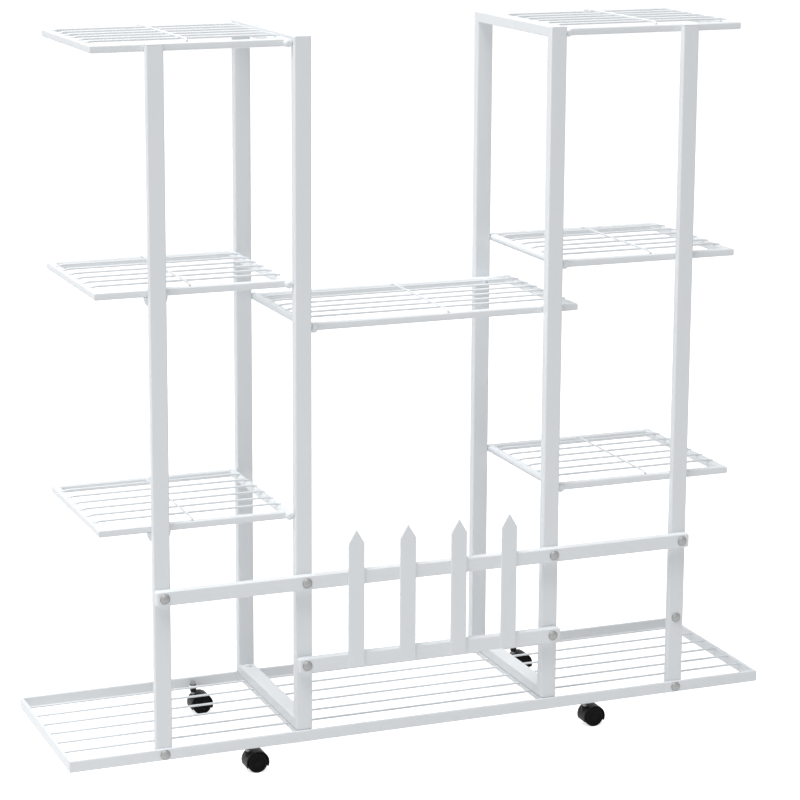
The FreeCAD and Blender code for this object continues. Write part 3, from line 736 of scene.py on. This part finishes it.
def shelf_frame(shelf):
    node = f"{shelf}_shelf_frame"
    boxes = solids(node)
    rod_box = max(boxes, key=lambda box: (box[1].y - box[0].y, box[1].z - box[0].z))
    tabs = [box for box in boxes if box[1].y - box[0].y < TAB_LIMIT]
    bars = [box for box in boxes if box is not rod_box and box not in tabs]
    low = Vector(map(min, zip(*(box[0] for box in bars))))
    high = Vector(map(max, zip(*(box[1] for box in bars))))
    rod_x = (rod_box[0].x + rod_box[1].x) / 2
    away = 1 if rod_x < low.x else -1
    start = (rod_x + away * BAR_INTO_ROD, 0)
    far = (high.x, -1) if away > 0 else (low.x, 1)
    middle = (low.z + high.z) / 2
    outline = rounded_outline(high.z - low.z, bars[0][1].y - bars[0][0].y, SHELF_EDGE)
    corners = [(start, (low.y, 1)), (far, (low.y, 1)), (far, (high.y, -1)), (start, (high.y, -1))]
    work = bmesh.new()
    rings = carry(work, outline, corners, lambda x, y, across: (x, y, middle + across), False)
    close(work, rings[0])
    close(work, rings[-1])
    end_rod(work, *rod_box)
    for tab_low, tab_high in tabs:
        tab(work, tab_low, tab_high)
    piece_from(work, f"{shelf}_shelf_bars", [node])


SHELVES = [f"{hand}_{tier}" for hand in ("left", "right") for tier in ("top", "upper", "lower")] + ["middle"]
for shelf in SHELVES:
    shelf_frame(shelf)

# %% [markdown]
# ## Wires
#
# The wires of the base lie between its rails, and a small weld flows out from each end over the side of the
# rail, except at the top, where there is no rail beyond it. The wires of a shelf lie on its frame, and their
# rounded ends are pressed down into it by the weld. Both are a round wire whose radius and height change near
# its ends. The wire across a shelf sinks a little into the others, because the spots where they cross are
# pressed together too, and stops a little short of the back bar. The base's wires are a little slimmer than
# their solids.

# %% Wire grids
WIRE_SIDES = 20
WELD_FLARE = [
    (0.0, 1.1 * MM, 0.0),
    (0.35 * MM, 0.5 * MM, 0.0),
    (0.8 * MM, 0.18 * MM, 0.0),
    (1.5 * MM, 0.0, 0.0),
]
PRESSED_END = [
    (0.0, -0.9 * MM, 1.3 * MM),
    (0.25 * MM, -0.35 * MM, 1.3 * MM),
    (0.9 * MM, 0.0, 1.25 * MM),
    (4.0 * MM, 0.0, 0.95 * MM),
    (9.0 * MM, 0.0, 0.0),
]
CROSS_SINK = Vector((0, 0, 1.2 * MM))
CROSS_SHORT = Vector((0, 14.0 * MM, 0))
BASE_SLIM = Vector((0, 0.3 * MM, 0.3 * MM))


def wire(work, low, high, ends):
    """A round wire along its longest side.

    Its ends list distances from the tip, each with a change of the radius and a drop. Growth leaves out the
    top; shrinkage is all round.
    """
    size = high - low
    along_x = size.x > size.y
    radius = size.z / 2
    length = size.x if along_x else size.y
    middle = (low + high) / 2
    rings = []
    for step, grow, drop in ends + [(length - step, grow, drop) for step, grow, drop in reversed(ends)]:
        ring = []
        for i in range(WIRE_SIDES):
            angle = 2 * math.pi * i / WIRE_SIDES
            reach = radius + grow * ((1 - math.sin(angle)) / 2 if grow > 0 else 1)
            side, rise = reach * math.cos(angle), middle.z - drop + reach * math.sin(angle)
            if along_x:
                spot = (low.x + step, middle.y + side, rise)
            else:
                spot = (middle.x + side, low.y + step, rise)
            ring.append(work.verts.new(spot))
        rings.append(ring)
    skin(work, rings)
    close(work, rings[0])
    close(work, rings[-1])


for grid in ["base"] + [f"{shelf}_shelf" for shelf in SHELVES]:
    work = bmesh.new()
    for low, high in solids(f"{grid}_wires"):
        if high.y - low.y > high.x - low.x:
            low, high = low - CROSS_SINK, high - CROSS_SINK - CROSS_SHORT
        if grid == "base":
            wire(work, low + BASE_SLIM, high - BASE_SLIM, WELD_FLARE)
        else:
            wire(work, low, high, PRESSED_END)
    piece_from(work, f"{grid}_grid", [f"{grid}_wires"])

# %% [markdown]
# ## Bolts, nuts and screws
#
# The bolts have a low mushroom head and a thread that shows behind the nut. A thread is a cylinder whose
# radius rises and falls along a helix: the phase grows with the height and falls with the angle. The screws
# have a button head with a key socket and a plain shank, because only their heads are seen.

# %% Fasteners
BOLT_RADIUS = 3.0 * MM
HEAD_RADIUS = 6.25 * MM
HEAD_RISE = 3.8 * MM
HEAD_RIM = 0.9 * MM
HEAD_CHAMFER = (0.3 * MM, 0.25 * MM)
HEAD_SIDES = 40
DOME_STEPS = 9
THREAD_PITCH = 1.0 * MM
THREAD_DEPTH = 0.55 * MM
THREAD_STEPS = 8
THREAD_SIDES = 24
NUT_HEIGHT = 5.0 * MM
NUT_FLATS = 9.96 * MM
NUT_SIDES = 48
NUT_SLOPE = math.radians(30)
NUT_CLEARANCE = 0.1 * MM
NUT_CHAMFER = 0.4 * MM
NUT_INSET = 0.1 * MM
KEY_FLATS = 3.0 * MM
KEY_SHARE = 0.45
SCREW_RADIUS = 2.5 * MM
SCREW_SIDES = 36
BUTTON_RADIUS = 4.0 * MM
BUTTON_HEIGHT = 3.0 * MM
BUTTON_CHAMFER = (0.2 * MM, 0.3 * MM)
BUTTON_SHARES = [(1.0, 0.4), (0.93, 0.72), (0.78, 0.93), (0.6, 1.0)]


def thread(work, at, axis, length, radius):
    """A threaded rod from a place along an axis. Its thread fades out at the tip."""
    rings = []
    count = round(length / THREAD_PITCH * THREAD_STEPS)
    for step in range(count + 1):
        height = length * step / count
        fade = min(1.0, (length - height) / THREAD_PITCH)

        def reach(angle, height=height, fade=fade):
            phase = (height / THREAD_PITCH - angle / (2 * math.pi)) % 1.0
            groove = abs(2 * phase - 1)
            return radius - THREAD_DEPTH * (groove * fade + (1 - fade))

        rings.append((reach, height))
    made = turn_profile(work, rings, at, axis, THREAD_SIDES)
    close(work, made[-1])
    close(work, made[0])


def mushroom_bolt(work, low, high):
    """A bolt along Y: head in front, thread at the back."""
    at = Vector(((low.x + high.x) / 2, low.y + HEAD_RISE, (low.z + high.z) / 2))
    dome = HEAD_RISE - HEAD_RIM
    ball = (HEAD_RADIUS ** 2 + dome ** 2) / (2 * dome)
    edge = math.asin(HEAD_RADIUS / ball)
    inset, rise = HEAD_CHAMFER
    profile = [(BOLT_RADIUS, 0.0), (HEAD_RADIUS - inset, 0.0), (HEAD_RADIUS, rise), (HEAD_RADIUS, HEAD_RIM)]
    for i in range(1, DOME_STEPS):
        lean = edge * (1 - i / DOME_STEPS)
        profile.append((ball * math.sin(lean), HEAD_RIM + ball * math.cos(lean) - (ball - dome)))
    rings = turn_profile(work, profile, at, (0, -1, 0), HEAD_SIDES)
    close(work, rings[-1])
    close(work, rings[0])
    thread(work, at, (0, 1, 0), high.y - at.y, BOLT_RADIUS)


def hex_nut(work, low, high):
    """A nut along Y with chamfered corners."""
    at = Vector(((low.x + high.x) / 2, low.y, (low.z + high.z) / 2))
    flats = hexagon(NUT_FLATS)
    corner_drop = math.tan(NUT_SLOPE)
    bore = BOLT_RADIUS + NUT_CLEARANCE

    def ring(reach, height):
        """A ring of one radius and height, or of both by the angle."""
        spots = []
        for i in range(NUT_SIDES):
            angle = 2 * math.pi * i / NUT_SIDES
            radius = reach(angle) if callable(reach) else reach
            slope = max((radius - NUT_FLATS / 2) * corner_drop, 0.0)
            level = height(slope) if callable(height) else height
            spot = Vector((radius * math.cos(angle), level, radius * math.sin(angle)))
            spots.append(work.verts.new(at + spot))
        return spots

    rings = [
        ring(bore, NUT_CHAMFER),
        ring(bore + NUT_CHAMFER, 0.0),
        ring(NUT_FLATS / 2 - NUT_INSET, 0.0),
        ring(flats, lambda slope: slope),
        ring(flats, lambda slope: NUT_HEIGHT - slope),
        ring(NUT_FLATS / 2 - NUT_INSET, NUT_HEIGHT),
        ring(bore + NUT_CHAMFER, NUT_HEIGHT),
        ring(bore, NUT_HEIGHT - NUT_CHAMFER),
    ]
    skin(work, rings, True)


def socket_screw(work, at, axis, length):
    """A button head with a key socket at a place, and its plain shank behind. The length is that of both."""
    flats = hexagon(KEY_FLATS)
    inset, rise = BUTTON_CHAMFER
    profile = [
        (SCREW_RADIUS, -(length - BUTTON_HEIGHT)),
        (SCREW_RADIUS, 0.0),
        (BUTTON_RADIUS - inset, 0.0),
        (BUTTON_RADIUS, rise),
    ]
    profile += [(wide * BUTTON_RADIUS, tall * BUTTON_HEIGHT) for wide, tall in BUTTON_SHARES]
    profile += [(flats, BUTTON_HEIGHT), (flats, KEY_SHARE * BUTTON_HEIGHT)]
    rings = turn_profile(work, profile, at, axis, SCREW_SIDES)
    close(work, rings[0])
    close(work, rings[-1])


def shelf_screw(work, low, high):
    """A screw along Y, whose head is on the side of the stand's middle."""
    ahead = 1 if low.y < 0 else -1
    seat = (high.y if ahead > 0 else low.y) - ahead * BUTTON_HEIGHT
    at = Vector(((low.x + high.x) / 2, seat, (low.z + high.z) / 2))
    socket_screw(work, at, (0, ahead, 0), high.y - low.y)


def foot_bolt(work, low, high):
    """A bolt that stands upright, head on top."""
    at = Vector(((low.x + high.x) / 2, (low.y + high.y) / 2, high.z - BUTTON_HEIGHT))
    socket_screw(work, at, (0, 0, 1), high.z - low.z)


def fasteners():
    for name, node, shape in (
        ("mushroom_bolts", "post_bolts", mushroom_bolt),
        ("hex_nuts", "post_nuts", hex_nut),
        ("socket_screws", "shelf_screws", shelf_screw),
        ("foot_bolts", "loop_foot_bolts", foot_bolt),
    ):
        work = bmesh.new()
        for low, high in solids(node):
            shape(work, low, high)
        piece_from(work, name, [node])


fasteners()

# %% [markdown]
# ## Caster hoods
#
# A hood is a moulded shell over a pair of wheels, cut level above the floor, with a web between the wheels
# that holds the axle. The shell's section is a thin strip with rounded lips, carried round the axle; each of
# its lines stops where it meets the level of the cut.

# %% Hoods
AXLE_LEVEL = 13.0 * MM
HOOD_RADIUS = 15.2 * MM
HOOD_WALL = 1.4 * MM
HOOD_LIP = 0.6 * MM
LIP_SHARES = (0.18, 0.3)
HOOD_STEPS = 40
WEB_HALF = 4.0 * MM
WEB_OVERLAP = 0.2 * MM
WEB_EDGE = 0.3 * MM
COLLAR_RADIUS = 4.6 * MM
COLLAR_RISE = 1.6 * MM
COLLAR_EDGE = 0.5 * MM
STEM_RADIUS = 3.05 * MM


def hood(corner):
    node = f"{corner}_caster_hood"
    low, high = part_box(node)
    stem_low, stem_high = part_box(f"{corner}_caster_stem")
    stem = (stem_low + stem_high) / 2
    axle = Vector(((low.x + high.x) / 2, (low.y + high.y) / 2, AXLE_LEVEL))
    half = (high.y - low.y) / 2
    work = bmesh.new()

    def arc(radius, share):
        """The angle at a share of the way round, from the cut on one side to the cut on the other."""
        dip = math.asin((low.z - AXLE_LEVEL) / radius)
        return dip + (math.pi - 2 * dip) * share

    inner = HOOD_RADIUS - HOOD_WALL
    lip = [
        (inner, -half + HOOD_LIP / 2),
        (inner + HOOD_LIP / 2, -half),
        (HOOD_RADIUS - HOOD_LIP, -half),
        (HOOD_RADIUS - LIP_SHARES[0] * HOOD_LIP, -half + LIP_SHARES[1] * HOOD_LIP),
        (HOOD_RADIUS, -half + HOOD_LIP),
    ]
    other_lip = [(radius, -across) for radius, across in reversed(lip)]
    section = lip + other_lip + [(inner, WEB_HALF), (inner, -WEB_HALF)]
    strips = []
    for step in range(HOOD_STEPS + 1):
        ring = []
        for radius, across in section:
            angle = arc(radius, step / HOOD_STEPS)
            spot = Vector((radius * math.cos(angle), across, radius * math.sin(angle)))
            ring.append(work.verts.new(axle + spot))
        strips.append(ring)
    skin(work, strips)
    close(work, strips[0])
    close(work, strips[-1])
    # The web between the wheels, cut level with the shell
    reach = inner + WEB_OVERLAP
    angles = [arc(inner, step / HOOD_STEPS) for step in range(HOOD_STEPS + 1)]
    web = [(axle.x + reach * math.cos(angle), axle.z + reach * math.sin(angle)) for angle in angles]
    slab(work, web, axle.y - WEB_HALF, axle.y + WEB_HALF, WEB_EDGE)
    # The collar that the stem enters
    foot = AXLE_LEVEL + math.sqrt(HOOD_RADIUS ** 2 - (abs(stem.x - axle.x) + COLLAR_RADIUS) ** 2)
    top = AXLE_LEVEL + math.sqrt(HOOD_RADIUS ** 2 - (stem.x - axle.x) ** 2) + COLLAR_RISE
    collar = [
        (STEM_RADIUS, foot),
        (COLLAR_RADIUS, foot),
        (COLLAR_RADIUS, top - COLLAR_EDGE),
        (COLLAR_RADIUS - COLLAR_EDGE, top),
        (STEM_RADIUS, top),
    ]
    sleeve(work, Vector((stem.x, stem.y, 0)), collar)
    piece_from(work, f"{corner}_hood_shell", [node], f"{corner}_swivel")


CORNERS = [f"{depth}_{hand}" for depth in ("front", "back") for hand in ("left", "right")]
for corner in CORNERS:
    hood(corner)

# %% [markdown]
# ## Caster sockets
#
# A stem turns in a black socket, a sleeve with a tapered tip that is pushed through a flat boss inside the
# rail. Both lie in the height that the CAD boss and socket have together, and the shares say where in it.

# %% Bosses and sockets
TAPER_SHARE = 0.5
SLEEVE_SHARE = 0.64
BOSS_SHARES = (0.5, 0.64)
SOCKET_TIP = 3.7 * MM
SOCKET_BORE = 3.15 * MM
TURNED_EDGE = 0.4 * MM


def caster_seats():
    bosses, sockets = bmesh.new(), bmesh.new()
    for (boss_low, boss_high), (low, high) in zip(solids("caster_bosses"), solids("caster_sockets")):
        at = Vector(((low.x + high.x) / 2, (low.y + high.y) / 2, low.z))
        height = boss_high.z - low.z
        radius, rim = (high.x - low.x) / 2, (boss_high.x - boss_low.x) / 2
        top = SLEEVE_SHARE * height
        sleeve(sockets, at, [
            (SOCKET_BORE, 0.0),
            (SOCKET_TIP - TURNED_EDGE, 0.0),
            (SOCKET_TIP, TURNED_EDGE),
            (radius, TAPER_SHARE * height),
            (radius, top - TURNED_EDGE),
            (radius - TURNED_EDGE, top),
            (SOCKET_BORE, top),
        ])
        under, over = (share * height for share in BOSS_SHARES)
        sleeve(bosses, at, [
            (radius, under),
            (rim - TURNED_EDGE, under),
            (rim, under + TURNED_EDGE),
            (rim, over - TURNED_EDGE),
            (rim - TURNED_EDGE, over),
            (radius, over),
        ])
    piece_from(bosses, "flat_bosses", ["caster_bosses"])
    piece_from(sockets, "stem_sockets", ["caster_sockets"])


caster_seats()

# %% [markdown]
# ## Dressing the rest
#
# What is left of the CAD model is right as it is: wheels, axles, stems and studs. They only get their finish.

# %% Finishes of the CAD pieces
for node_name, piece in frame["nodes"].items():
    for material_slot in piece.material_slots:
        material_slot.material = FINISH[SLOT[node_name]]
print("dressed:", sum(not piece.hide_render for piece in frame["nodes"].values()), "CAD pieces as they are")

# %% [markdown]
# ## Measuring
#
# The dressed stand must keep the CAD model's size, so its size is printed here, as the CAD model's was at the
# start.

# %% Measure and finish
low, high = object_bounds()
print("visual size", [round(v, 4) for v in high - low])
